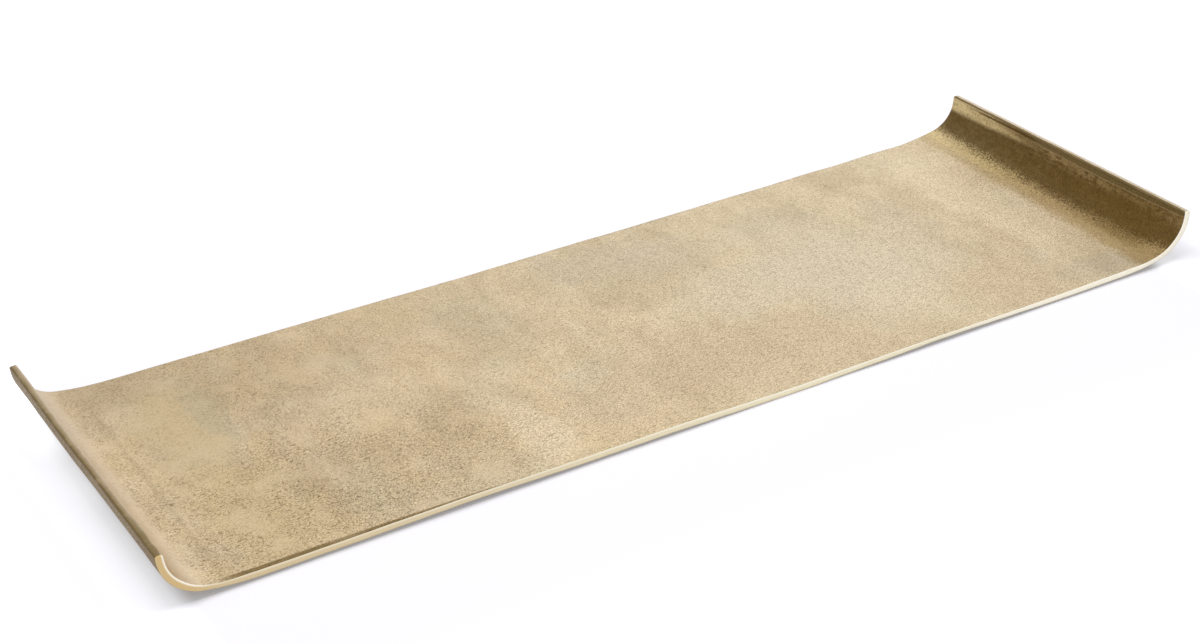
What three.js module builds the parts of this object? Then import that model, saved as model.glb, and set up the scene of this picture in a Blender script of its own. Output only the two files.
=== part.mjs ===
// Long decorative tray: one sand-cast metal plate, 760 mm by 252 mm, whose two
// short ends sweep up into lips. It stands on four thin felt discs.
// Millimetres, +Z up. X runs along the tray, Y across it, front at -Y.
// The origin is on the table, under the middle of the tray.

import * as THREE from 'three';

// Overall size of the casting, outside to outside
const TRAY_LENGTH = 760;
const TRAY_WIDTH = 252;
const WALL = 4.8;

// Each end rises in three tangent arcs, given on the top face: a long shallow
// sweep out of the floor, the bend itself, and the lip, which is almost upright.
// Each slope is the one at the arc's far end, in degrees from level.
const SWEEP_RADIUS = 165;
const SWEEP_SLOPE = 12;
const BEND_RADIUS = 25;
const BEND_SLOPE = 79;
const LIP_RADIUS = 40;
const LIP_SLOPE = 87.5;

// Linished edges: the long sides, the top of each lip, and the lips' corners
const SIDE_ROUND = 0.8;
const LIP_TOP_ROUND = 1.2;
const LIP_CORNER_RADIUS = 2.5;

// Self-adhesive felt discs under the floor
const PAD_DIAMETER = 22;
const PAD_THICKNESS = 1.5;
const PAD_EDGE_ROUND = 0.4;
const PAD_END_INSET = 24;
const PAD_SIDE_INSET = 24;

// Fineness of the curves, in steps
const PROFILE_STEPS = 4;
const SIDE_ROUND_STEPS = 3;
const PAD_SIDES = 48;
const PAD_EDGE_STEPS = 3;

const QUARTER = Math.PI / 2;
const sweepSlope = THREE.MathUtils.degToRad(SWEEP_SLOPE);
const bendSlope = THREE.MathUtils.degToRad(BEND_SLOPE);
const lipSlope = THREE.MathUtils.degToRad(LIP_SLOPE);

// The point where an arc about `centre` has climbed to `slope`
function onArc(centre, radius, slope) {
  return new THREE.Vector2(
    centre.x + radius * Math.sin(slope),
    centre.y - radius * Math.cos(slope),
  );
}

// Centres of the arcs of the right-hand end, with the floor's underside at
// height 0. Where two arcs meet, both centres lie on one line with the meeting
// point, so the slope runs on without a break.
function endCentres(flatHalfLength) {
  const sweep = new THREE.Vector2(flatHalfLength, WALL + SWEEP_RADIUS);
  const bend = onArc(sweep, SWEEP_RADIUS - BEND_RADIUS, sweepSlope);
  const lip = onArc(bend, BEND_RADIUS - LIP_RADIUS, bendSlope);
  const outerRound = onArc(lip, LIP_RADIUS + WALL - LIP_TOP_ROUND, lipSlope);
  const innerRound = onArc(lip, LIP_RADIUS + LIP_TOP_ROUND, lipSlope);
  return { sweep, bend, lip, outerRound, innerRound };
}

// The flat floor takes the length that the two swept ends leave
const endReach = endCentres(0).outerRound.x + LIP_TOP_ROUND;
const flatHalfLength = TRAY_LENGTH / 2 - endReach;
const centres = endCentres(flatHalfLength);
const lipTop = centres.innerRound.y + LIP_TOP_ROUND;

// The three arcs of one end, on the face that lies `depth` below the top face
function faceArcs(depth) {
  return [
    { centre: centres.sweep, radius: SWEEP_RADIUS + depth, from: 0, to: sweepSlope },
    { centre: centres.bend, radius: BEND_RADIUS + depth, from: sweepSlope, to: bendSlope },
    { centre: centres.lip, radius: LIP_RADIUS + depth, from: bendSlope, to: lipSlope },
  ];
}

// The rounded top of a lip: two small arcs with the narrow land between them
function lipTopArcs() {
  const landSlope = lipSlope + QUARTER;
  const innerSlope = landSlope + QUARTER;
  return [
    { centre: centres.outerRound, radius: LIP_TOP_ROUND, from: lipSlope, to: landSlope },
    { centre: centres.innerRound, radius: LIP_TOP_ROUND, from: landSlope, to: innerSlope },
  ];
}

// The tray seen from its long side: up the outer face of the right-hand end,
// over the lip, down its inner face, along the floor, and the same on the left
function sideOutline() {
  const shape = new THREE.Shape();
  const right = ({ centre, radius, from, to }) => {
    shape.absarc(centre.x, centre.y, radius, from - QUARTER, to - QUARTER, false);
  };
  const rightBack = ({ centre, radius, from, to }) => {
    shape.absarc(centre.x, centre.y, radius, to - QUARTER, from - QUARTER, true);
  };
  const left = ({ centre, radius, from, to }) => {
    shape.absarc(-centre.x, centre.y, radius, -from - QUARTER, -to - QUARTER, true);
  };
  const leftBack = ({ centre, radius, from, to }) => {
    shape.absarc(-centre.x, centre.y, radius, -to - QUARTER, -from - QUARTER, false);
  };
  shape.moveTo(-flatHalfLength, 0);
  faceArcs(WALL).forEach(right);
  lipTopArcs().forEach(right);
  faceArcs(0).reverse().forEach(rightBack);
  faceArcs(0).forEach(left);
  lipTopArcs().reverse().forEach(leftBack);
  faceArcs(WALL).reverse().forEach(leftBack);
  return shape;
}

// Seen from the end, the top corners of each lip are quarter circles: this is
// how far in from the side the edge lies, `drop` below the top of the lip
function cornerInset(drop) {
  const run = Math.max(0, LIP_CORNER_RADIUS - drop);
  return LIP_CORNER_RADIUS - Math.sqrt(LIP_CORNER_RADIUS ** 2 - run ** 2);
}

function trayBodyGeometry() {
  const geometry = new THREE.ExtrudeGeometry(sideOutline(), {
    depth: TRAY_WIDTH - 2 * SIDE_ROUND,
    curveSegments: PROFILE_STEPS,
    bevelThickness: SIDE_ROUND,
    bevelSize: SIDE_ROUND,
    bevelOffset: -SIDE_ROUND,
    bevelSegments: SIDE_ROUND_STEPS,
  });
  geometry.translate(0, 0, SIDE_ROUND - TRAY_WIDTH / 2);
  geometry.rotateX(QUARTER);
  const position = geometry.getAttribute('position');
  for (let i = 0; i < position.count; i += 1) {
    const y = position.getY(i);
    const drop = Math.max(0, lipTop - position.getZ(i));
    position.setY(i, y - Math.sign(y) * cornerInset(drop));
  }
  geometry.computeVertexNormals();
  return geometry;
}

function padGeometry() {
  const radius = PAD_DIAMETER / 2;
  const profile = [new THREE.Vector2(0, 0)];
  for (let i = 0; i <= PAD_EDGE_STEPS; i += 1) {
    const turn = (i / PAD_EDGE_STEPS) * QUARTER;
    profile.push(new THREE.Vector2(
      radius - PAD_EDGE_ROUND + PAD_EDGE_ROUND * Math.sin(turn),
      PAD_EDGE_ROUND - PAD_EDGE_ROUND * Math.cos(turn),
    ));
  }
  profile.push(new THREE.Vector2(radius, PAD_THICKNESS));
  profile.push(new THREE.Vector2(0, PAD_THICKNESS));
  const geometry = new THREE.LatheGeometry(profile, PAD_SIDES);
  geometry.rotateX(QUARTER);
  return geometry;
}

const antiqueBrassFinish = new THREE.MeshStandardMaterial({
  color: 0xb39b70,
  roughness: 0.45,
  metalness: 1,
});
const felt = new THREE.MeshStandardMaterial({
  color: 0x3b332b,
  roughness: 0.95,
  metalness: 0,
});

const tray = new THREE.Group();

const trayBody = new THREE.Mesh(trayBodyGeometry(), antiqueBrassFinish);
trayBody.name = 'tray_body';
trayBody.position.z = PAD_THICKNESS;
tray.add(trayBody);

// One disc near each corner of the flat floor, its top face against the floor
const padX = flatHalfLength - PAD_END_INSET;
const padY = TRAY_WIDTH / 2 - PAD_SIDE_INSET;
for (const [row, y] of [['front', -padY], ['back', padY]]) {
  for (const [side, x] of [['left', -padX], ['right', padX]]) {
    const pad = new THREE.Mesh(padGeometry(), felt);
    pad.name = `foot_pad_${row}_${side}`;
    pad.position.set(x, y, 0);
    tray.add(pad);
  }
}

export default tray;
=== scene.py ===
import math
import bpy
from mathutils import Matrix, Vector


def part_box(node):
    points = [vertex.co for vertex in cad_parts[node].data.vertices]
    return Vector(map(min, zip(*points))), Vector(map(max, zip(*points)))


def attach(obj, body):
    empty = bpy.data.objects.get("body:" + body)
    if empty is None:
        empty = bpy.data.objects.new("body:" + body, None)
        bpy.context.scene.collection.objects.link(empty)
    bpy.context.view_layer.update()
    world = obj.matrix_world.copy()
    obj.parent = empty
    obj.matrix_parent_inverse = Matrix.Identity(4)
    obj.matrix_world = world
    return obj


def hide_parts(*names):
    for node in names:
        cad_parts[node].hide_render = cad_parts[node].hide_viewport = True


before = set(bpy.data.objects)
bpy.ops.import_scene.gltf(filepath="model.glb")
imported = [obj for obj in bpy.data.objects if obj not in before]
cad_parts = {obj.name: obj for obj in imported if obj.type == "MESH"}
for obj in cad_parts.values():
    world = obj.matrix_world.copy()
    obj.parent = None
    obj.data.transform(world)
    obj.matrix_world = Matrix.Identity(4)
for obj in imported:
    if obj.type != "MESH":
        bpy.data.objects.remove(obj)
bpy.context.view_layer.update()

# Casting, its form. The tray is one plate poured in sand, about 5 mm thick, with both short
# ends swept up into lips. Its long sides are linished flat with a small arris, and each lip
# is rounded over at its top into a narrow land.
body_low, body_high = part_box("tray_body")
wall = 0.0048
floor_top = body_low.z + wall
room_to_wander = 0.0004
half_width = body_high.y - room_to_wander
half_length = body_high.x - room_to_wander
sweep_radius, sweep_slope = 0.165, math.radians(12)
bend_radius, bend_slope = 0.025, math.radians(79)
lip_radius, lip_slope = 0.040, math.radians(87.5)
side_round = 0.0006
land_round = 0.0012
lip_corner = 0.0019
top_room = 0.00015
spacing = 0.0026


def on_arc(centre, radius, slope):
    """Where an arc about centre has climbed to slope, in the tray's side view."""
    return centre + Vector((radius * math.sin(slope), 0, -radius * math.cos(slope)))


def end_centres(flat_half):
    """Centres of the sweep, the bend and the lip of the right-hand end."""
    sweep = Vector((flat_half, 0, floor_top + sweep_radius))
    bend = on_arc(sweep, sweep_radius - bend_radius, sweep_slope)
    return sweep, bend, on_arc(bend, bend_radius - lip_radius, bend_slope)


def pick(piece, kind, wanted):
    """Selects just the vertices, edges or polygons of a piece for which wanted is true."""
    bpy.ops.object.mode_set(mode="EDIT")
    bpy.ops.mesh.select_mode(type={"vertices": "VERT", "edges": "EDGE", "polygons": "FACE"}[kind])
    bpy.ops.mesh.select_all(action="DESELECT")
    bpy.ops.object.mode_set(mode="OBJECT")
    for element in getattr(piece.data, kind):
        element.select = wanted(element)
    bpy.ops.object.mode_set(mode="EDIT")


def length_along(piece, edge):
    """How far an edge runs along the tray."""
    start, end = (piece.data.vertices[i].co for i in edge.vertices)
    return abs(start.x - end.x)


flat_half = half_length - on_arc(end_centres(0)[2], lip_radius + wall, lip_slope).x
sweep_centre, bend_centre, lip_centre = end_centres(flat_half)

# The section, as high as the wall and as wide as the tray, with its four arrises rounded
bpy.ops.object.select_all(action="DESELECT")
bpy.ops.mesh.primitive_grid_add(
    x_subdivisions=2, y_subdivisions=round(2 * half_width / spacing), size=1
)
casting = bpy.context.object
casting.name = "casting"
bpy.ops.object.mode_set(mode="EDIT")
bpy.ops.transform.resize(value=(wall, 2 * half_width, 1), center_override=(0, 0, 0))
bpy.ops.transform.rotate(value=math.pi / 2, orient_axis="Y", center_override=(0, 0, 0))
bpy.ops.transform.translate(value=(0, 0, floor_top - wall / 2))
pick(casting, "vertices", lambda v: (
    abs(v.co.y) > half_width - side_round and abs(v.co.z - floor_top + wall / 2) > wall / 4
))
bpy.ops.mesh.bevel(offset=side_round, offset_type="WIDTH", segments=3, affect="VERTICES")

# Drawn out along the floor, then spun through the sweep, the bend and most of the lip
bpy.ops.mesh.select_mode(type="FACE")
bpy.ops.mesh.select_all(action="SELECT")
bpy.ops.mesh.extrude_region_move(TRANSFORM_OT_translate={"value": (flat_half, 0, 0)})
corner_slope = lip_slope - (lip_corner - land_round) / lip_radius
for centre, turn, steps in (
    (sweep_centre, sweep_slope, 13),
    (bend_centre, bend_slope - sweep_slope, 20),
    (lip_centre, corner_slope - bend_slope, 2),
):
    bpy.ops.mesh.spin(steps=steps, angle=turn, center=centre, axis=(0, 1, 0))

# The lip's tip: its corners narrow in a quarter circle, and its top rounds over
tip_start = on_arc(lip_centre, lip_radius + wall / 2, corner_slope)
up_the_lip = Vector((math.cos(lip_slope), 0, math.sin(lip_slope)))
straight = lip_corner - land_round - top_room
rises = [straight * 0.6, straight] + [
    straight + land_round * math.sin(math.radians(turn)) for turn in (25, 50, 70, 90)
]
risen, thickness, breadth = 0, wall, half_width
for rise in rises:
    over = max(0, rise - straight)
    cut = land_round - math.sqrt(land_round**2 - min(over, land_round) ** 2)
    inset = lip_corner - math.sqrt(lip_corner**2 - min(rise, lip_corner) ** 2)
    bpy.ops.mesh.extrude_region_move(
        TRANSFORM_OT_translate={"value": up_the_lip * (rise - risen)}
    )
    bpy.ops.transform.resize(
        value=((wall - 2 * cut) / thickness, (half_width - inset) / breadth, 1),
        center_override=tip_start + up_the_lip * rise,
    )
    risen, thickness, breadth = rise, wall - 2 * cut, half_width - inset

# The floor is cut into strips as narrow as the rest, and the left-hand half mirrored
pick(casting, "polygons", lambda p: abs(p.center.x) < spacing / 10)
bpy.ops.mesh.delete(type="FACE")
pick(casting, "edges", lambda e: length_along(casting, e) > flat_half / 2)
bpy.ops.mesh.subdivide(number_cuts=round(flat_half / spacing) - 1)
bpy.ops.object.mode_set(mode="OBJECT")
bpy.ops.object.modifier_add(type="MIRROR")
bpy.ops.object.modifier_apply(modifier=casting.modifiers[-1].name)
bpy.ops.object.mode_set(mode="EDIT")
bpy.ops.mesh.select_all(action="SELECT")
bpy.ops.mesh.remove_doubles(threshold=1e-6)
bpy.ops.mesh.normals_make_consistent(inside=False)
bpy.ops.object.mode_set(mode="OBJECT")


def place_on_plate(point):
    """Where a point of the casting lay on the flat plate: along it, across it, and its depth
    below the top face."""
    x, z = abs(point.x), point.z
    run, depth = x, floor_top - z
    met = 0
    for centre, radius, start, end, begun in (
        (sweep_centre, sweep_radius, 0, sweep_slope, flat_half),
        (bend_centre, bend_radius, sweep_slope, bend_slope,
         flat_half + sweep_radius * sweep_slope),
        (lip_centre, lip_radius, bend_slope, math.pi / 2,
         flat_half + sweep_radius * sweep_slope + bend_radius * (bend_slope - sweep_slope)),
    ):
        slope = math.atan2(x - centre.x, centre.z - z)
        if x > flat_half and slope >= start:
            run = begun + radius * (min(slope, end + 1) - start)
            depth = math.hypot(x - centre.x, z - centre.z) - radius
    return Vector((math.copysign(run, point.x), point.y, -depth))


plate = casting.data.attributes.new("plate", "FLOAT_VECTOR", "POINT")
places = [place_on_plate(v.co) for v in casting.data.vertices]
for entry, place in zip(plate.data, places):
    entry.vector = place


# Casting, as worked by hand. The pattern was pressed into the sand a little unevenly, so the
# floor rolls gently and the edges wander by up to a millimetre or two. The belt that squared
# the front edge also thinned it from below in two places.
def hump(distance, reach):
    """One in the middle, easing to nothing at reach to either side."""
    return max(0, 1 - (distance / reach) ** 2) ** 2


def press(piece, name, axis, travel, share):
    """Pushes a piece's surface by travel along an axis, each point by its share of it."""
    group = piece.vertex_groups.new(name=name)
    for vertex in piece.data.vertices:
        amount = share(vertex.index)
        if amount > 0:
            group.add([vertex.index], amount, "REPLACE")
    push = piece.modifiers.new(name, "DISPLACE")
    push.vertex_group = name
    push.direction = axis
    push.mid_level = 0
    push.strength = travel
    bpy.ops.object.modifier_apply(modifier=name)
    piece.vertex_groups.clear()


def at_front(i):
    return hump(places[i].y + half_width, 0.05)


def at_back(i):
    return hump(places[i].y - half_width, 0.07)


def on_top(i):
    """One on the top face, easing to nothing at the underside."""
    return min(1, max(0, 1 + places[i].z / wall))


def under_front(i):
    return min(1, max(0, -places[i].z / wall)) * hump(places[i].y + half_width, 0.012)


# The floor rolls at its long edges: by how much, where along the tray, and how far it reaches
bpy.context.view_layer.objects.active = casting
for name, edge, rise, middle, reach in (
    ("front_rise", at_front, 0.0008, -0.19, 0.11),
    ("front_dip", at_front, -0.0012, 0.06, 0.11),
    ("front_dip_right", at_front, -0.0008, 0.225, 0.10),
    ("back_rise", at_back, 0.0007, 0.235, 0.045),
):
    press(casting, name, "Z", rise, lambda i: edge(i) * hump(places[i].x - middle, reach))
press(casting, "back_curl", "Z", 0.0012, lambda i: (
    hump(places[i].y - half_width, 0.013) * hump(places[i].x - 0.30, 0.05)
))
press(casting, "far_corner", "Z", 0.0016, lambda i: (
    hump(places[i].y - half_width, 0.10) * hump(places[i].x - 0.350, 0.036)
))

# The belt wore the front edge down from above, most of all in the bends, and thinned it from
# below on either side of the middle
press(casting, "worn_arris", "Z", -0.0005, lambda i: (
    on_top(i) * hump(places[i].y + half_width, 0.022)
    * min(1, max(0, (0.362 - abs(places[i].x)) / 0.02))
))
press(casting, "thin_bend", "Z", -0.0011, lambda i: (
    on_top(i) * hump(places[i].y + half_width, 0.035) * hump(abs(places[i].x) - 0.349, 0.022)
))
for name, thinned, middle, reach in (
    ("thinned_left", 0.0004, -0.19, 0.09),
    ("thinned_right", 0.0015, 0.185, 0.11),
):
    press(casting, name, "Z", thinned, lambda i: (
        under_front(i) * hump(places[i].x - middle, reach)
    ))

# The back edge bows in and dips before its middle, and the left-hand lip leans out a little
press(casting, "back_bow", "Y", -0.0008, lambda i: at_back(i) * hump(places[i].x - 0.03, 0.26))
press(casting, "back_dip", "Z", -0.0006, lambda i: at_back(i) * hump(places[i].x + 0.08, 0.15))
press(casting, "left_lip_bow", "X", -0.0004, lambda i: (
    hump(places[i].y - 0.025, 0.06) * min(1, max(0, (-places[i].x - 0.35) / 0.03))
))

# The rest wanders without a plan, but the floor stays level where the pads are stuck to it
clear_of_pads = casting.vertex_groups.new(name="clear_of_pads")
pad_reach = 0.012
pad_boxes = [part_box(name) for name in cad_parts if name.startswith("foot_pad")]
pad_spots = [(low + high) / 2 for low, high in pad_boxes]
for i, where in enumerate(places):
    nearest = min(math.hypot(where.x - spot.x, where.y - spot.y) for spot in pad_spots)
    near_floor = min(1, max(0.3, (0.375 - abs(where.x)) / 0.02))
    freedom = near_floor * min(1, max(0, (nearest - pad_reach) / 0.03))
    clear_of_pads.add([i], freedom, "REPLACE")
for axis, strength, size in (
    ("Z", 0.0009, 0.075),
    ("Y", 0.0007, 0.045),
    ("X", 0.0005, 0.040),
    ("NORMAL", 0.00022, 0.011),
):
    clouds = bpy.data.textures.new("hand_work_" + axis.lower(), "CLOUDS")
    clouds.noise_scale = size
    clouds.noise_depth = 1
    sway = casting.modifiers.new("hand_work", "DISPLACE")
    sway.texture = clouds
    sway.direction = axis
    sway.strength = strength
    sway.mid_level = 0.5
    sway.vertex_group = "clear_of_pads" if axis in ("Z", "NORMAL") else ""
    bpy.ops.object.modifier_apply(modifier=sway.name)
bpy.ops.object.select_all(action="DESELECT")
casting.select_set(True)
bpy.ops.object.shade_smooth_by_angle(angle=math.radians(35))


# Casting, its finish: brass-coloured plating aged with a dark patina, then rubbed back by
# hand so the high spots shine. Patina stays in the sand grain, in the bends and in clouds.
# Some light and shade is painted into the colour as well, said below where it is laid on.
def add_step(tree, kind, feeds, **settings):
    """Adds one node to a finish. Each feed is a number, a colour or another node's output."""
    step = tree.nodes.new(kind)
    for name, value in settings.items():
        setattr(step, name, value)
    for name, feed in feeds.items():
        if isinstance(feed, bpy.types.NodeSocket):
            tree.links.new(feed, step.inputs[name])
        else:
            step.inputs[name].default_value = feed
    return step


def figure(tree, operation, *feeds, clamp=False):
    """The result of one sum on numbers."""
    step = add_step(tree, "ShaderNodeMath", dict(enumerate(feeds)), operation=operation)
    step.use_clamp = clamp
    return step.outputs[0]


def vector_figure(tree, operation, *feeds):
    """The result of one sum on vectors."""
    step = add_step(tree, "ShaderNodeVectorMath", dict(enumerate(feeds)), operation=operation)
    return step.outputs["Value" if operation == "DOT_PRODUCT" else "Vector"]


def scaled(tree, vector, factor):
    """A vector or a colour, made longer or brighter by a factor."""
    feeds = {"Vector": vector, "Scale": factor}
    step = add_step(tree, "ShaderNodeVectorMath", feeds, operation="SCALE")
    return step.outputs["Vector"]


def fade(tree, value, start, end, low=0, high=1):
    """Eases from low to high as value goes from start to end."""
    feeds = {"Value": value, "From Min": start, "From Max": end, "To Min": low, "To Max": high}
    return add_step(
        tree, "ShaderNodeMapRange", feeds, interpolation_type="SMOOTHSTEP"
    ).outputs["Result"]


def noise(tree, place, size, detail=2, roughness=0.5, output="Fac"):
    """Noise whose features are about size apart."""
    feeds = {"Vector": place, "Scale": 1 / size, "Detail": detail, "Roughness": roughness}
    return add_step(tree, "ShaderNodeTexNoise", feeds).outputs[output]


def tint(tree, amount, base, colour):
    """Lays a colour over a base by amount."""
    feeds = {0: amount, 6: base, 7: colour}
    return add_step(tree, "ShaderNodeMix", feeds, data_type="RGBA").outputs[2]


def new_group(name, inputs, outputs):
    """An empty node group, its named inputs, and where its outputs go."""
    group = bpy.data.node_groups.new(name, "ShaderNodeTree")
    for side, sockets in (("INPUT", inputs), ("OUTPUT", outputs)):
        for socket, kind in sockets.items():
            group.interface.new_socket(socket, in_out=side, socket_type="NodeSocket" + kind)
    given = group.nodes.new("NodeGroupInput").outputs
    return group, given, group.nodes.new("NodeGroupOutput").inputs


def use_group(tree, group, feeds):
    """Places a node group in a finish and gives its outputs."""
    step = tree.nodes.new("ShaderNodeGroup")
    step.node_tree = group
    for name, feed in feeds.items():
        if isinstance(feed, bpy.types.NodeSocket):
            tree.links.new(feed, step.inputs[name])
        else:
            step.inputs[name].default_value = feed
    return step.outputs


# Sand grain: beads a little apart, with short broken creases between them
grain, given, gives = new_group(
    "sand_grain", {"Place": "Vector", "Size": "Float"}, {"Crease": "Float", "Height": "Float"}
)
spread = scaled(grain, given["Place"], figure(grain, "DIVIDE", 1, given["Size"]))
swirl = noise(grain, spread, 1.8, 1, output="Color")
swirl = scaled(grain, vector_figure(grain, "SUBTRACT", swirl, (0.5, 0.5, 0.5)), 1.3)
swirled = vector_figure(grain, "ADD", spread, swirl)
gaps = add_step(
    grain, "ShaderNodeTexVoronoi", {"Vector": swirled, "Scale": 1}, feature="DISTANCE_TO_EDGE"
).outputs["Distance"]
breaks = noise(grain, spread, 1.4, 2)
crack = figure(
    grain, "MULTIPLY", fade(grain, gaps, 0.03, 0.15, 1, 0), fade(grain, breaks, 0.46, 0.57)
)
worm = figure(grain, "ABSOLUTE", figure(grain, "SUBTRACT", noise(grain, swirled, 1.25, 1), 0.5))
worm = figure(
    grain, "MULTIPLY", fade(grain, worm, 0.004, 0.045, 1, 0), fade(grain, breaks, 0.55, 0.44)
)
crease = figure(grain, "MAXIMUM", crack, worm)
beads = figure(grain, "MULTIPLY", fade(grain, gaps, 0, 0.3), 0.45)
lumps = figure(grain, "MULTIPLY", noise(grain, spread, 0.5, 2, 0.6), 1.1)
height = figure(grain, "ADD", beads, lumps)
height = figure(grain, "SUBTRACT", height, figure(grain, "MULTIPLY", crease, 0.5))
grain.links.new(crease, gives["Crease"])
grain.links.new(height, gives["Height"])

# Patch: an oblong of the plate with soft edges, given by its middle and its reach
patch, given, gives = new_group(
    "patch",
    {"Place": "Vector", "Middle": "Vector", "Reach": "Vector", "Softness": "Float"},
    {"Share": "Float"},
)
away = vector_figure(patch, "SUBTRACT", given["Place"], given["Middle"])
away = vector_figure(patch, "DIVIDE", away, given["Reach"])
away = vector_figure(patch, "MULTIPLY", away, away)
away = vector_figure(patch, "DOT_PRODUCT", away, (1, 1, 0))
outer = figure(patch, "ADD", 1, given["Softness"])
inner = figure(patch, "SUBTRACT", 1, given["Softness"])
patch.links.new(fade(patch, away, outer, inner), gives["Share"])

sandy = (0.630, 0.513, 0.337, 1)
old_gold = (0.657, 0.504, 0.301, 1)
rubbed_gold = (0.599, 0.473, 0.278, 1)
olive_gold = (0.613, 0.475, 0.252, 1)
grey_green = (0.494, 0.418, 0.284, 1)
pale_sand = (0.733, 0.608, 0.420, 1)
pinkish_tan = (0.575, 0.451, 0.295, 1)
mauve_tan = (0.516, 0.425, 0.306, 1)
cool_sand = (0.608, 0.520, 0.373, 1)
umber = (0.457, 0.348, 0.204, 1)
deep_gold = (0.444, 0.310, 0.140, 1)
bronze = (0.110, 0.062, 0.0115, 1)
dark_olive = (0.222, 0.149, 0.055, 1)
crease_brown = (0.185, 0.118, 0.036, 1)
film_gold = (0.560, 0.425, 0.195, 1)
film_brown = (0.310, 0.212, 0.080, 1)
flat_olive = (0.225, 0.170, 0.074, 1)
line_gold = (0.460, 0.345, 0.195, 1)
rosy_gold = (0.594, 0.474, 0.337, 1)
polished_gold = (0.700, 0.548, 0.268, 1)

face = bpy.data.materials.new("antique_brass_face")
face.use_nodes = True
tree = face.node_tree
shader = tree.nodes["Principled BSDF"]
place = add_step(tree, "ShaderNodeAttribute", {}, attribute_name="plate").outputs["Vector"]
parts = add_step(tree, "ShaderNodeSeparateXYZ", {"Vector": place}).outputs
along, across = parts["X"], parts["Y"]
ragged = noise(tree, place, 0.024, 5, 0.7, output="Color")
ragged = vector_figure(tree, "SUBTRACT", ragged, (0.5, 0.5, 0.5))
ragged_place = vector_figure(tree, "ADD", place, scaled(tree, ragged, 0.045))
ragged_parts = add_step(tree, "ShaderNodeSeparateXYZ", {"Vector": ragged_place}).outputs


def clouds_of(offset, stretch, size, start, end):
    """Drifting areas of the plate, each set apart from the others by its offset."""
    drift = vector_figure(tree, "ADD", vector_figure(tree, "MULTIPLY", place, stretch), offset)
    return fade(tree, noise(tree, drift, size, 3, 0.58), start, end)


colour = tint(tree, fade(tree, along, -0.27, 0.12), old_gold, sandy)
for offset, stretch, size, shade, amount in (
    ((0, 0, 0), (1, 1, 0), 0.10, pinkish_tan, 0.55),
    ((3.1, 1.7, 0), (1, 1, 0), 0.07, cool_sand, 0.55),
    ((5.3, 7.7, 0), (1, 0.3, 0), 0.024, umber, 0.42),
    ((1.9, 9.1, 0), (1, 0.4, 0), 0.016, pale_sand, 0.34),
    ((8.2, 4.4, 0), (1, 1, 0), 0.018, umber, 0.25),
):
    share = clouds_of(offset, stretch, size, 0.44, 0.72)
    colour = tint(tree, figure(tree, "MULTIPLY", share, amount), colour, shade)

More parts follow.
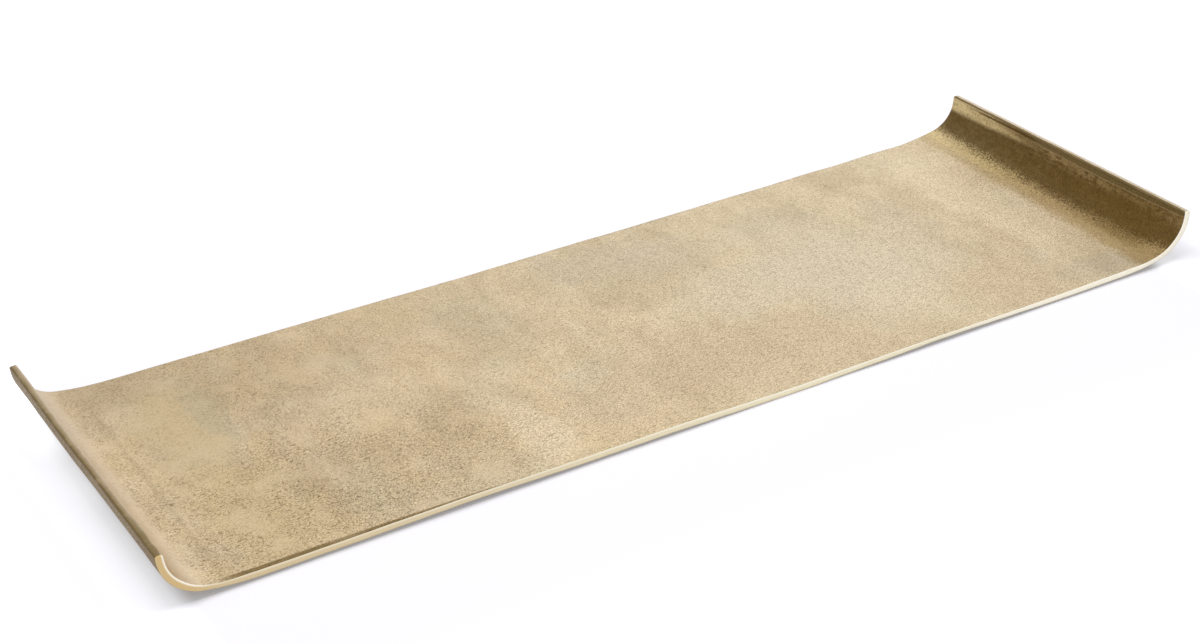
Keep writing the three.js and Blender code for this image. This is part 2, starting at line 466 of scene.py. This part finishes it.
# Where the cloth rubbed or left the patina, from the left-hand end to the right
for middle, reach, softness, shade, amount in (
    ((-0.303, 0.045, 0), (0.025, 0.054, 1), 0.6, rubbed_gold, 0.80),
    ((-0.280, 0.058, 0), (0.011, 0.046, 1), 0.7, grey_green, 0.50),
    ((-0.322, 0.112, 0), (0.040, 0.024, 1), 0.9, umber, 0.50),
    ((-0.303, -0.068, 0), (0.026, 0.058, 1), 0.9, olive_gold, 0.45),
    ((-0.275, -0.070, 0), (0.013, 0.058, 1), 0.5, rubbed_gold, 0.60),
    ((-0.258, -0.066, 0), (0.008, 0.065, 1), 0.7, umber, 0.40),
    ((-0.205, -0.070, 0), (0.055, 0.055, 1), 0.9, umber, 0.20),
    ((-0.155, -0.055, 0), (0.022, 0.060, 1), 0.9, umber, 0.18),
    ((-0.235, -0.085, 0), (0.020, 0.034, 1), 0.9, grey_green, 0.30),
    ((-0.245, 0.085, 0), (0.045, 0.046, 1), 0.9, umber, 0.36),
    ((-0.175, 0.095, 0), (0.035, 0.030, 1), 0.9, umber, 0.18),
    ((-0.130, 0.100, 0), (0.022, 0.024, 1), 0.8, rubbed_gold, 0.40),
    ((-0.185, 0.008, 0), (0.046, 0.026, 1), 0.9, pale_sand, 0.26),
    ((-0.116, -0.085, 0), (0.014, 0.040, 1), 0.8, pale_sand, 0.62),
    ((-0.120, -0.020, 0), (0.014, 0.034, 1), 0.9, pale_sand, 0.25),
    ((-0.082, 0.060, 0), (0.026, 0.055, 1), 0.9, grey_green, 0.26),
    ((-0.060, -0.042, 0), (0.018, 0.018, 1), 0.9, cool_sand, 0.60),
    ((0.025, 0.095, 0), (0.050, 0.022, 1), 0.9, mauve_tan, 0.40),
    ((0.035, 0.045, 0), (0.040, 0.032, 1), 0.9, umber, 0.32),
    ((0.070, 0.068, 0), (0.032, 0.030, 1), 0.9, mauve_tan, 0.40),
    ((0.165, 0.078, 0), (0.038, 0.018, 1), 0.9, grey_green, 0.34),
    ((-0.015, -0.075, 0), (0.075, 0.040, 1), 0.9, pinkish_tan, 0.50),
    ((0.085, -0.090, 0), (0.065, 0.038, 1), 0.9, pinkish_tan, 0.60),
    ((-0.010, -0.085, 0), (0.022, 0.038, 1), 0.9, umber, 0.24),
    ((0.128, -0.062, 0), (0.014, 0.014, 1), 0.9, umber, 0.30),
    ((0.095, 0.000, 0), (0.060, 0.034, 1), 0.9, cool_sand, 0.55),
    ((0.170, -0.020, 0), (0.060, 0.075, 1), 0.9, cool_sand, 0.75),
    ((0.175, -0.075, 0), (0.030, 0.030, 1), 0.9, pale_sand, 0.12),
    ((0.245, -0.088, 0), (0.042, 0.038, 1), 0.9, pinkish_tan, 0.55),
    ((0.246, 0.102, 0), (0.022, 0.016, 1), 0.9, umber, 0.38),
    ((0.245, 0.010, 0), (0.022, 0.046, 1), 0.9, mauve_tan, 0.34),
    ((0.304, 0.050, 0), (0.022, 0.085, 1), 0.8, pale_sand, 0.50),
    ((0.326, -0.012, 0), (0.026, 0.042, 1), 0.9, pale_sand, 0.42),
    ((0.308, -0.060, 0), (0.016, 0.030, 1), 0.9, pale_sand, 0.45),
    ((0.312, -0.108, 0), (0.028, 0.016, 1), 0.9, mauve_tan, 0.42),
    ((0.349, -0.098, 0), (0.006, 0.013, 1), 0.9, olive_gold, 0.60),
    ((0.050, -0.060, 0), (0.060, 0.030, 1), 0.9, umber, 0.20),
):
    share = use_group(
        tree, patch,
        {"Place": ragged_place, "Middle": middle, "Reach": reach, "Softness": softness},
    )["Share"]
    colour = tint(tree, figure(tree, "MULTIPLY", share, amount), colour, shade)

# Both bends keep more patina, the right-hand one most of all, which is also painted dark
# for its dark reflection: first a gold film at its foot
grain_size = 0.00155
askew = add_step(
    tree, "ShaderNodeVectorRotate", {"Vector": place, "Angle": math.radians(-9)},
    rotation_type="Z_AXIS",
).outputs["Vector"]
askew = vector_figure(tree, "MULTIPLY", askew, (0.62, 1.26, 1))
lines = use_group(tree, grain, {"Place": askew, "Size": grain_size})
drift = figure(tree, "SUBTRACT", ragged_parts["X"], along)
skewed = figure(tree, "ADD", along, figure(tree, "MULTIPLY", drift, 0.22))
skewed = figure(tree, "SUBTRACT", skewed, figure(tree, "MULTIPLY", across, 0.03))
speckled = figure(tree, "MULTIPLY", figure(tree, "SUBTRACT", lines["Height"], 0.75), 0.0065)
speckled = figure(tree, "SUBTRACT", skewed, speckled)
gold_film = fade(tree, skewed, 0.334, 0.347, 0, 0.95)
film_colour = tint(tree, fade(tree, across, -0.02, 0.08), deep_gold, film_gold)
gold_film = figure(tree, "MULTIPLY", gold_film, fade(tree, across, 0.03, 0.10, 1, 0.75))
colour = tint(tree, gold_film, colour, film_colour)

# Towards the front a brown film takes its place, all but at the very end
near_front = fade(tree, across, -0.02, -0.08)
brown_film = figure(tree, "MULTIPLY", near_front, fade(tree, skewed, 0.3465, 0.3545, 0, 0.85))
at_the_end = fade(tree, across, -0.092, -0.118)
brown_film = figure(tree, "MULTIPLY", brown_film, fade(tree, at_the_end, 0, 1, 1, 0.3))
colour = tint(tree, brown_film, colour, film_brown)
speckled = figure(tree, "SUBTRACT", speckled, figure(tree, "MULTIPLY", near_front, 0.0030))
speckled = figure(tree, "SUBTRACT", speckled, figure(tree, "MULTIPLY", at_the_end, 0.0050))

# A crease of patina lies where each bend begins, the right-hand one deepest at the back
right_crease = figure(tree, "ABSOLUTE", figure(tree, "SUBTRACT", along, 0.3445))
right_crease = fade(tree, right_crease, 0, 0.0060, 1, 0)
right_crease = figure(tree, "MULTIPLY", right_crease, fade(tree, across, -0.02, 0.05, 0.25, 0.60))
left_crease = figure(tree, "ABSOLUTE", figure(tree, "ADD", along, 0.3415))
left_crease = fade(tree, left_crease, 0, 0.0035, 0.40, 0)
colour = tint(tree, figure(tree, "ADD", right_crease, left_crease), colour, umber)

# The rest of the right-hand bend is dark bronze: patina, and painted dark reflection
dark = fade(tree, speckled, 0.3514, 0.3620, 0, 0.97)
dark = figure(tree, "MULTIPLY", dark, fade(tree, skewed, 0.357, 0.374, 0.94, 1))
streaks = noise(tree, vector_figure(tree, "MULTIPLY", place, (1, 0.12, 1)), 0.0035, 3, 0.6)
blots = noise(tree, place, 0.007, 3, 0.6)

# A band under its lip's top is rubbed, widest at the back and only smeared at the front
far_back = fade(tree, across, -0.020, 0.122)
band_middle = fade(tree, across, 0.03, 0.115, 0.3850, 0.3858)
band_half = fade(tree, across, 0.01, 0.115, 0.0002, 0.0036)
band_end = figure(tree, "ADD", band_half, 0.0046)
band = figure(tree, "ABSOLUTE", figure(tree, "SUBTRACT", along, band_middle))
band = fade(tree, band, band_half, band_end, 1, 0)
rubbed_top = fade(tree, far_back, 0, 1, 0.20, 0.86)
rubbed_top = figure(tree, "ADD", rubbed_top, fade(tree, streaks, 0.3, 0.7, -0.18, 0.16))
rubbed_top = figure(tree, "MULTIPLY", rubbed_top, band)
smear = fade(tree, figure(tree, "ADD", streaks, blots), 0.84, 1.08, 0.14, 0.56)
smear = figure(tree, "MULTIPLY", smear, fade(tree, along, 0.3758, 0.3835))
smear = figure(tree, "MULTIPLY", smear, fade(tree, across, 0.045, 0.01))
rubbed_top = figure(tree, "MAXIMUM", rubbed_top, smear)
colour = tint(tree, figure(tree, "MULTIPLY", rubbed_top, far_back), colour, polished_gold)
dark = figure(tree, "MULTIPLY", dark, figure(tree, "SUBTRACT", 1, rubbed_top))
dark = figure(tree, "MULTIPLY", dark, fade(tree, streaks, 0.35, 0.75, 1, 0.95))
dark = figure(tree, "MULTIPLY", dark, fade(tree, blots, 0.35, 0.75, 1, 0.92))
dark = figure(tree, "MULTIPLY", dark, fade(tree, across, 0, -0.1, 1, 0.95))
colour = tint(tree, dark, colour, bronze)

# Under the right-hand lip's top lies a flat that the belt left, widest before its middle. A
# bright line marks its foot, and towards the back a dark line takes its place
flat_foot = figure(tree, "DIVIDE", figure(tree, "ADD", across, 0.040), 0.090)
flat_foot = figure(tree, "MULTIPLY", figure(tree, "MULTIPLY", flat_foot, flat_foot), 0.0019)
flat_foot = figure(tree, "SUBTRACT", figure(tree, "SUBTRACT", along, flat_foot), 0.3852)
to_the_back = fade(tree, across, 0.05, 0.02)
belt_flat = figure(tree, "MULTIPLY", fade(tree, flat_foot, 0, 0.0003), to_the_back)
colour = tint(tree, figure(tree, "MULTIPLY", belt_flat, 0.9), colour, flat_olive)
foot_line = fade(tree, figure(tree, "ABSOLUTE", flat_foot), 0.0002, 0.0007, 0.55, 0)
foot_line = figure(tree, "MULTIPLY", foot_line, to_the_back)
colour = tint(tree, foot_line, colour, line_gold)
dark_line = figure(tree, "ABSOLUTE", figure(tree, "SUBTRACT", along, 0.3882))
dark_line = fade(tree, dark_line, 0.0005, 0.0011, 0.85, 0)
dark_line = figure(tree, "MULTIPLY", dark_line, fade(tree, across, 0.015, 0.045))
dark_line = figure(tree, "MULTIPLY", dark_line, fade(tree, across, 0.108, 0.085))
colour = tint(tree, dark_line, colour, bronze)

# The left-hand bend carries a painted highlight, up to the foot of its lip
left_bend_highlight = figure(
    tree, "MULTIPLY", fade(tree, along, -0.3535, -0.3605), fade(tree, along, -0.374, -0.368)
)
colour = tint(tree, figure(tree, "MULTIPLY", left_bend_highlight, 0.6), colour, rosy_gold)
colour = tint(tree, fade(tree, along, -0.370, -0.378, 0, 0.6), colour, umber)

# A line of painted shade runs along the front edge, widest at the left
from_front = figure(tree, "ADD", across, half_width)
line_width = fade(tree, along, -0.30, -0.12, 0.0046, 0.0012)
front_edge_shade = fade(tree, figure(tree, "SUBTRACT", from_front, line_width), 0, -0.0016)
front_edge_shade = figure(tree, "MULTIPLY", front_edge_shade, fade(tree, along, -0.352, -0.330))
front_edge_shade = figure(tree, "MULTIPLY", front_edge_shade, fade(tree, along, -0.115, -0.20, 0, 0.95))
colour = tint(tree, front_edge_shade, colour, dark_olive)

# Grain: deep at the front left, almost rubbed away in patches there, and soft elsewhere
rubbed = use_group(tree, patch, {
    "Place": ragged_place, "Middle": (-0.303, 0.040, 0), "Reach": (0.026, 0.060, 1),
    "Softness": 0.9,
})["Share"]
deep = use_group(tree, patch, {
    "Place": ragged_place, "Middle": (-0.24, -0.07, 0), "Reach": (0.125, 0.07, 1),
    "Softness": 0.9,
})["Share"]
wear_and_highlight = figure(tree, "MULTIPLY", rubbed, 0.50)
# The painted highlight on the left-hand bend smooths the grain as well
wear_and_highlight = figure(tree, "MAXIMUM", wear_and_highlight, figure(tree, "MULTIPLY", left_bend_highlight, 0.8))
relief = fade(tree, deep, 0, 1, 0.57, 0.88)
relief = figure(tree, "MULTIPLY", relief, figure(tree, "SUBTRACT", 1, wear_and_highlight))
smooth_spots = noise(tree, vector_figure(tree, "ADD", place, (0.4, 0.2, 0)), 0.028, 2)
smooth_spots = fade(tree, smooth_spots, 0.46, 0.68)
smooth_spots = figure(tree, "MULTIPLY", smooth_spots, fade(tree, along, -0.08, -0.2))
relief = figure(tree, "MULTIPLY", relief, fade(tree, smooth_spots, 0, 1, 1, 0.40))
relief = figure(tree, "MULTIPLY", relief, fade(tree, along, -0.20, 0.20, 1.08, 0.74))
colour = tint(tree, figure(tree, "MULTIPLY", smooth_spots, 0.14), colour, pale_sand)
lumpy = figure(tree, "MULTIPLY", relief, fade(tree, along, -0.30, -0.24, 0.36, 0.64))
lumpy = figure(tree, "MULTIPLY", lumpy, fade(tree, along, 0.345, 0.365, 1, 1.6))
# Beads lighter and creases darker by height: painted relief shading, and rubbed high spots
relief_shading = figure(tree, "MULTIPLY", figure(tree, "SUBTRACT", lines["Height"], 0.70), lumpy)
brighter_left = fade(tree, along, -0.28, 0.20, 1.00, 0.95)
brighter_left = figure(tree, "ADD", brighter_left, fade(tree, across, 0.06, -0.06, 0, 0.025))
colour = scaled(tree, colour, figure(tree, "ADD", relief_shading, brighter_left))
crease_share = figure(tree, "MULTIPLY", relief, fade(tree, along, -0.30, -0.16, 0.60, 0.16))
crease_share = figure(tree, "MULTIPLY", lines["Crease"], crease_share)
colour = tint(tree, crease_share, colour, crease_brown)

bump = add_step(
    tree, "ShaderNodeBump",
    {"Height": figure(tree, "MULTIPLY", lines["Height"], relief), "Strength": 0.6,
     "Distance": 0.0003},
)
tree.links.new(bump.outputs["Normal"], shader.inputs["Normal"])
tree.links.new(colour, shader.inputs["Base Color"])
shader.inputs["Metallic"].default_value = 1
tree.links.new(fade(tree, lines["Crease"], 0, 1, 0.38, 0.55), shader.inputs["Roughness"])
casting.data.materials.append(face)

# Long sides: linished on a belt, gold at the left, straw in the middle and cream at the
# right; the paler right is painted reflection, and the arris carries a painted highlight
edge = bpy.data.materials.new("linished_edge")
edge.use_nodes = True
tree = edge.node_tree
shader = tree.nodes["Principled BSDF"]
place = add_step(tree, "ShaderNodeAttribute", {}, attribute_name="plate").outputs["Vector"]
parts = add_step(tree, "ShaderNodeSeparateXYZ", {"Vector": place}).outputs
gold_edge = (0.655, 0.522, 0.305, 1)
straw_edge = (0.830, 0.770, 0.555, 1)
cream_edge = (0.930, 0.885, 0.720, 1)
bend_gold = (0.650, 0.470, 0.215, 1)
arris_highlight = (1.000, 0.950, 0.800, 1)
belt = noise(tree, vector_figure(tree, "MULTIPLY", place, (1, 1, 6)), 0.006, 3)
# Straw and cream towards the right are painted reflection of the bright table in front
colour = tint(tree, fade(tree, parts["X"], -0.42, 0.10), gold_edge, straw_edge)
colour = tint(tree, fade(tree, parts["X"], 0.14, 0.24), colour, cream_edge)
colour = tint(tree, fade(tree, parts["X"], -0.340, -0.368), colour, bend_gold)
colour = tint(tree, fade(tree, belt, 0.35, 0.7, 0, 0.18), colour, gold_edge)
colour = tint(tree, fade(tree, parts["Z"], -0.0030, -0.0046, 0, 0.30), colour, gold_edge)
# Painted highlight along the arris, strongest at the left-hand bend and towards the right
from_bend = figure(tree, "ABSOLUTE", figure(tree, "ADD", parts["X"], 0.375))
bend_arris_highlight = fade(tree, from_bend, 0.014, 0.034, 1, 0)
right_arris_highlight = fade(tree, parts["X"], -0.32, 0.3, 0.45, 0.85)
wear_and_highlight = figure(tree, "MAXIMUM", bend_arris_highlight, right_arris_highlight)
wear_and_highlight = figure(tree, "MULTIPLY", wear_and_highlight, fade(tree, parts["Z"], -0.0018, -0.0002))
colour = tint(tree, wear_and_highlight, colour, arris_highlight)
tree.links.new(colour, shader.inputs["Base Color"])
shader.inputs["Metallic"].default_value = 1
tree.links.new(fade(tree, belt, 0.3, 0.7, 0.22, 0.34), shader.inputs["Roughness"])
casting.data.materials.append(edge)

# Lip tops: rubbed in the middle. The left-hand land has a painted highlight along its inner
# edge and painted dark reflection along its outer one; the right-hand land is dark brown
# inside with a painted highlight along its outer edge
land = bpy.data.materials.new("lip_land")
land.use_nodes = True
tree = land.node_tree
shader = tree.nodes["Principled BSDF"]
place = add_step(tree, "ShaderNodeAttribute", {}, attribute_name="plate").outputs["Vector"]
parts = add_step(tree, "ShaderNodeSeparateXYZ", {"Vector": place}).outputs
worn_land = (0.400, 0.305, 0.185, 1)
dull_land = (0.270, 0.195, 0.095, 1)
corner_brown = (0.225, 0.162, 0.070, 1)
outer_land_shade = (0.170, 0.115, 0.042, 1)
arris_brown = (0.200, 0.140, 0.068, 1)
outer_land_highlight = (0.620, 0.520, 0.375, 1)
mottle = noise(tree, place, 0.009, 3, 0.6)
depth_in = figure(tree, "ADD", parts["Z"], fade(tree, mottle, 0.3, 0.7, -0.0003, 0.0003))
# Painted highlight along the inner edge of the left-hand land
left_land = tint(tree, fade(tree, depth_in, -0.0004, -0.0022), rosy_gold, worn_land)
left_land = tint(tree, fade(tree, depth_in, -0.0020, -0.0036), left_land, dull_land)
near_corner = fade(tree, parts["Y"], -0.060, -0.110, 0, 0.85)
near_corner = figure(tree, "MULTIPLY", near_corner, fade(tree, depth_in, 0, -0.0012))
left_land = tint(tree, near_corner, left_land, corner_brown)
# Painted dark reflection along the outer edge of the left-hand land
left_land = tint(tree, fade(tree, depth_in, -0.0034, -0.0042), left_land, outer_land_shade)
# Painted highlight along the outer edge of the right-hand land
right_land = tint(tree, fade(tree, depth_in, -0.0006, -0.0018), arris_brown, outer_land_highlight)
colour = tint(tree, fade(tree, parts["X"], -0.01, 0.01), left_land, right_land)
colour = tint(tree, fade(tree, mottle, 0.5, 0.7, 0, 0.25), colour, umber)
lines = use_group(tree, grain, {"Place": place, "Size": 0.0016})
colour = tint(tree, figure(tree, "MULTIPLY", lines["Crease"], 0.18), colour, crease_brown)
bump = add_step(
    tree, "ShaderNodeBump", {"Height": lines["Height"], "Strength": 0.2, "Distance": 0.0002}
)
tree.links.new(bump.outputs["Normal"], shader.inputs["Normal"])
tree.links.new(colour, shader.inputs["Base Color"])
shader.inputs["Metallic"].default_value = 1
shader.inputs["Roughness"].default_value = 0.4
casting.data.materials.append(land)

# Underside: as it came from the sand, coarser and darker, the darkness partly patina and
# partly painted shade from the shadowed table it reflects, with dull brown in its hollows
under = bpy.data.materials.new("rough_underside")
under.use_nodes = True
tree = under.node_tree
shader = tree.nodes["Principled BSDF"]
place = add_step(tree, "ShaderNodeAttribute", {}, attribute_name="plate").outputs["Vector"]
cast_tan = (0.325, 0.245, 0.130, 1)
cast_brown = (0.270, 0.188, 0.090, 1)
mottle = noise(tree, place, 0.05, 4, 0.6)
colour = tint(tree, fade(tree, mottle, 0.3, 0.7), cast_tan, cast_brown)
lines = use_group(tree, grain, {"Place": place, "Size": 0.0019})
# Beads lighter and creases darker by height: painted relief shading
relief_shading = figure(tree, "ADD", figure(tree, "MULTIPLY", lines["Height"], 0.35), 0.70)
colour = scaled(tree, colour, relief_shading)
colour = tint(tree, figure(tree, "MULTIPLY", lines["Crease"], 0.3), colour, crease_brown)
bump = add_step(
    tree, "ShaderNodeBump", {"Height": lines["Height"], "Strength": 0.6, "Distance": 0.0004}
)
tree.links.new(bump.outputs["Normal"], shader.inputs["Normal"])
tree.links.new(colour, shader.inputs["Base Color"])
shader.inputs["Metallic"].default_value = 1
tree.links.new(fade(tree, lines["Crease"], 0, 1, 0.45, 0.65), shader.inputs["Roughness"])
casting.data.materials.append(under)

# Which surface each face of the casting belongs to
tip_run = abs(place_on_plate(tip_start + up_the_lip * straight).x)
for polygon in casting.data.polygons:
    middle = sum((places[i] for i in polygon.vertices), Vector()) / len(polygon.vertices)
    if abs(polygon.normal.y) > 0.3:
        polygon.material_index = 1
    elif abs(middle.x) > tip_run:
        polygon.material_index = 2
    elif middle.z < -wall / 2:
        polygon.material_index = 3

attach(casting, "root")
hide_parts("tray_body")


# Felt discs: punched from dark pressed felt, each held to the underside of the casting by a
# disc of adhesive film. They lift the tray clear of the table and keep it from scratching.
pads = [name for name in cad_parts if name.startswith("foot_pad")]
film_thickness = 0.00015
film_inset = 0.0003
felt_slack = 0.0002
felt_fuzz = 0.00008
pad_low, pad_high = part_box(pads[0])
pad_middle = (pad_low + pad_high) / 2
felt_radius = (pad_high.x - pad_low.x) / 2 - felt_slack
felt_top = pad_high.z - film_thickness

bpy.ops.object.select_all(action="DESELECT")
bpy.ops.mesh.primitive_cylinder_add(
    vertices=72, radius=felt_radius, depth=felt_top - felt_fuzz, end_fill_type="NGON",
    location=(pad_middle.x, pad_middle.y, (felt_top + felt_fuzz) / 2),
)
felt_disc = bpy.context.object
bpy.ops.object.transform_apply(location=True, rotation=True, scale=True)
pick(felt_disc, "polygons", lambda p: abs(p.normal.z) > 0.9)
bpy.ops.mesh.inset(thickness=0.0006)
for step in range(8):
    bpy.ops.mesh.inset(thickness=0.0011)
pick(felt_disc, "edges", lambda e: abs(
    felt_disc.data.vertices[e.vertices[0]].co.z - felt_disc.data.vertices[e.vertices[1]].co.z
) > felt_top / 2)
bpy.ops.mesh.subdivide(number_cuts=2)
bpy.ops.object.mode_set(mode="OBJECT")
bevel = felt_disc.modifiers.new("pressed_edge", "BEVEL")
bevel.width = 0.0003
bevel.segments = 3
bevel.angle_limit = math.radians(60)
bpy.ops.object.modifier_apply(modifier=bevel.name)
fibres = bpy.data.textures.new("fibres", "CLOUDS")
fibres.noise_scale = 0.0012
fuzz = felt_disc.modifiers.new("fuzz", "DISPLACE")
fuzz.texture = fibres
fuzz.strength = 2 * felt_fuzz
fuzz.mid_level = 0.6
bpy.ops.object.modifier_apply(modifier=fuzz.name)
bpy.ops.object.shade_smooth_by_angle(angle=math.radians(50))

bpy.ops.object.select_all(action="DESELECT")
bpy.ops.mesh.primitive_cylinder_add(
    vertices=72, radius=felt_radius - film_inset, depth=film_thickness, end_fill_type="NGON",
    location=(pad_middle.x, pad_middle.y, felt_top + film_thickness / 2),
)
film_disc = bpy.context.object
bpy.ops.object.transform_apply(location=True, rotation=True, scale=True)
bevel = film_disc.modifiers.new("cut_edge", "BEVEL")
bevel.width = 0.00004
bevel.segments = 2
bpy.ops.object.modifier_apply(modifier=bevel.name)
bpy.ops.object.shade_smooth_by_angle(angle=math.radians(35))

felt = bpy.data.materials.new("pressed_felt")
felt.use_nodes = True
tree = felt.node_tree
shader = tree.nodes["Principled BSDF"]
place = add_step(tree, "ShaderNodeTexCoord", {}).outputs["Object"]
dark_fibre = (0.022, 0.016, 0.012, 1)
pale_fibre = (0.085, 0.066, 0.050, 1)
worn_felt = (0.050, 0.038, 0.028, 1)
fibre = noise(tree, vector_figure(tree, "MULTIPLY", place, (1, 1, 2.5)), 0.0004, 3, 0.65)
blotch = noise(tree, place, 0.004, 2)
colour = tint(tree, fade(tree, fibre, 0.3, 0.7), dark_fibre, pale_fibre)
colour = tint(tree, fade(tree, blotch, 0.4, 0.7, 0, 0.4), colour, worn_felt)
bump = add_step(tree, "ShaderNodeBump", {"Height": fibre, "Strength": 0.7, "Distance": 0.0002})
tree.links.new(bump.outputs["Normal"], shader.inputs["Normal"])
tree.links.new(colour, shader.inputs["Base Color"])
tree.links.new(fade(tree, fibre, 0.3, 0.7, 0.85, 1), shader.inputs["Roughness"])
shader.inputs["Sheen Weight"].default_value = 0.35
felt_disc.data.materials.append(felt)

film = bpy.data.materials.new("adhesive_film")
film.use_nodes = True
tree = film.node_tree
shader = tree.nodes["Principled BSDF"]
place = add_step(tree, "ShaderNodeTexCoord", {}).outputs["Object"]
amber_film = (0.520, 0.490, 0.420, 1)
milky_film = (0.620, 0.600, 0.540, 1)
ripple = noise(tree, place, 0.0015, 2)
colour = tint(tree, fade(tree, ripple, 0.35, 0.65), amber_film, milky_film)
tree.links.new(colour, shader.inputs["Base Color"])
tree.links.new(fade(tree, ripple, 0.3, 0.7, 0.25, 0.4), shader.inputs["Roughness"])
film_disc.data.materials.append(film)

# One disc of each kind for the first pad, and copies of them for the other three
for number, name in enumerate(pads):
    low_corner, high_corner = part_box(name)
    move = Matrix.Translation((low_corner + high_corner) / 2 - pad_middle)
    for kind, disc in (("felt", felt_disc), ("film", film_disc)):
        piece = disc
        if number:
            piece = disc.copy()
            piece.data = disc.data.copy()
            bpy.context.collection.objects.link(piece)
            piece.data.transform(move)
        piece.name = name.replace("foot_pad", kind)
        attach(piece, "root")
        if kind == "felt":
            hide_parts(name)

# Table: a white sheet under the tray. It is plain diffuse white, lifted towards full white
# for the camera and for what the metal reflects, and it still takes the tray's shadow,
# thinned beside the ends by painted light.
bpy.ops.mesh.primitive_plane_add(size=12, location=(0, 0, 0))
table = bpy.context.object
table.name = "table"
white = bpy.data.materials.new("white_table")
white.use_nodes = True
tree = white.node_tree
shader = tree.nodes["Principled BSDF"]
shader.inputs["Base Color"].default_value = (0.795, 0.79, 0.85, 1)
shader.inputs["Roughness"].default_value = 1
shader.inputs["Specular IOR Level"].default_value = 0


def seen_directly(tree):
    """One for the rays that the camera, a gloss or a glass sends, and nothing for the rest."""
    rays = add_step(tree, "ShaderNodeLightPath", {}).outputs
    seen = figure(tree, "ADD", rays["Is Camera Ray"], rays["Is Glossy Ray"])
    return figure(tree, "ADD", seen, rays["Is Transmission Ray"], clamp=True)


# For the camera alone it is lifted further: with painted light beside the tray's ends and
# behind the left-hand lip, which thins the tray's shadow there, and away from the tray, most
# of all where the lamps don't reach. Beside the ends the lift is a little blue, like daylight
# in a shadow.
spot_on_table = add_step(tree, "ShaderNodeTexCoord", {}).outputs["Object"]
spot_on_table = add_step(tree, "ShaderNodeSeparateXYZ", {"Vector": spot_on_table}).outputs
directly = add_step(tree, "ShaderNodeLightPath", {}).outputs
from_middle = figure(tree, "ABSOLUTE", figure(tree, "ADD", spot_on_table["X"], 0.006))
end_glow = fade(tree, from_middle, 0.353, 0.367, 0, 0.34)
end_glow = figure(tree, "MULTIPLY", end_glow, fade(tree, from_middle, 0.370, 0.400, 1, 0.20))
left_glow = fade(tree, spot_on_table["X"], -0.356, -0.371)
left_glow = figure(tree, "MULTIPLY", left_glow, fade(tree, spot_on_table["X"], -0.372, -0.391, 1, 0))
back_share = fade(tree, spot_on_table["Y"], 0.05, 0.10, 0, 0.30)
back_share = figure(tree, "ADD", back_share, fade(tree, spot_on_table["Y"], -0.02, 0.02, 0, 0.07))
left_glow = figure(tree, "MULTIPLY", left_glow, back_share)
far_glow = figure(tree, "ADD", end_glow, left_glow)
for axis, start, end, lift in (
    ("X", 0.38, 0.60, 0.32),
    ("X", -0.38, -0.60, 0.32),
    ("Y", 0.14, 0.30, 0.40),
    ("Y", -0.20, -0.42, 0.32),
    ("X", 0.80, 3.00, 0.80),
    ("X", -0.80, -3.00, 0.80),
    ("Y", 0.80, 3.00, 0.80),
    ("Y", -0.80, -3.00, 0.80),
):
    outer_glow = fade(tree, spot_on_table[axis], start, end, 0, lift)
    far_glow = figure(tree, "MAXIMUM", far_glow, outer_glow)
glow = figure(tree, "MULTIPLY", far_glow, directly["Is Camera Ray"])
glow = figure(tree, "ADD", glow, figure(tree, "MULTIPLY", seen_directly(tree), 0.22))
cool_shade = (0.945, 0.965, 1.000, 1)
glow_colour = tint(tree, fade(tree, from_middle, 0.350, 0.365), (1, 1, 1, 1), cool_shade)
tree.links.new(glow_colour, shader.inputs["Emission Color"])
tree.links.new(glow, shader.inputs["Emission Strength"])
table.data.materials.append(white)

# Tent: soft even light from all round, which the camera and the metal see as white
tent = bpy.data.worlds.new("tent")
bpy.context.scene.world = tent
tent.use_nodes = True
tree = tent.node_tree
tree.nodes["Background"].inputs["Color"].default_value = (1, 1, 1, 1)
tree.links.new(
    fade(tree, seen_directly(tree), 0, 1, 0.45, 1.0), tree.nodes["Background"].inputs["Strength"]
)

# Two soft boxes: one overhead, which lights the table and keeps the shadow close under the
# tray, and one low behind the right-hand end, whose sheen the camera sees in the grain
for name, spot, size, power in (
    ("top_box", (0.0, 0.2, 2.2), 1.6, 31.0),
    ("back_box", (1.3, 1.5, 1.25), 1.2, 2.6),
):
    bpy.ops.object.light_add(type="AREA", location=spot)
    box = bpy.context.object
    box.name = name
    box.data.size = size
    box.data.energy = power
    box.rotation_mode = "QUATERNION"
    box.rotation_quaternion = Vector(spot).to_track_quat("Z", "Y")
    box.visible_diffuse = name == "top_box"
    box.visible_glossy = name == "back_box"

# Camera: about one and a half metres off, above the front left corner, tilted by a degree
# or two as the photographer held it
turned, tipped, rolled = math.radians(30.262), math.radians(28.681), math.radians(-1.848)
look = Vector((
    math.sin(turned) * math.cos(tipped), math.cos(turned) * math.cos(tipped), -math.sin(tipped)
))
level = Vector((math.cos(turned), -math.sin(turned), 0))
upright = level.cross(look)
right = math.cos(rolled) * level + math.sin(rolled) * upright
up = math.cos(rolled) * upright - math.sin(rolled) * level
aim = Vector((-0.0167, 0.0110, 0.0082))
distance = 1.4711
bpy.ops.object.camera_add()
camera = bpy.context.object
camera.matrix_world = (
    Matrix.Translation(aim - look * distance) @ Matrix((right, up, -look)).transposed().to_4x4()
)
camera.data.lens = 66.28
camera.data.sensor_width = 36
bpy.context.scene.camera = camera

bpy.context.scene.view_settings.view_transform = "Standard"
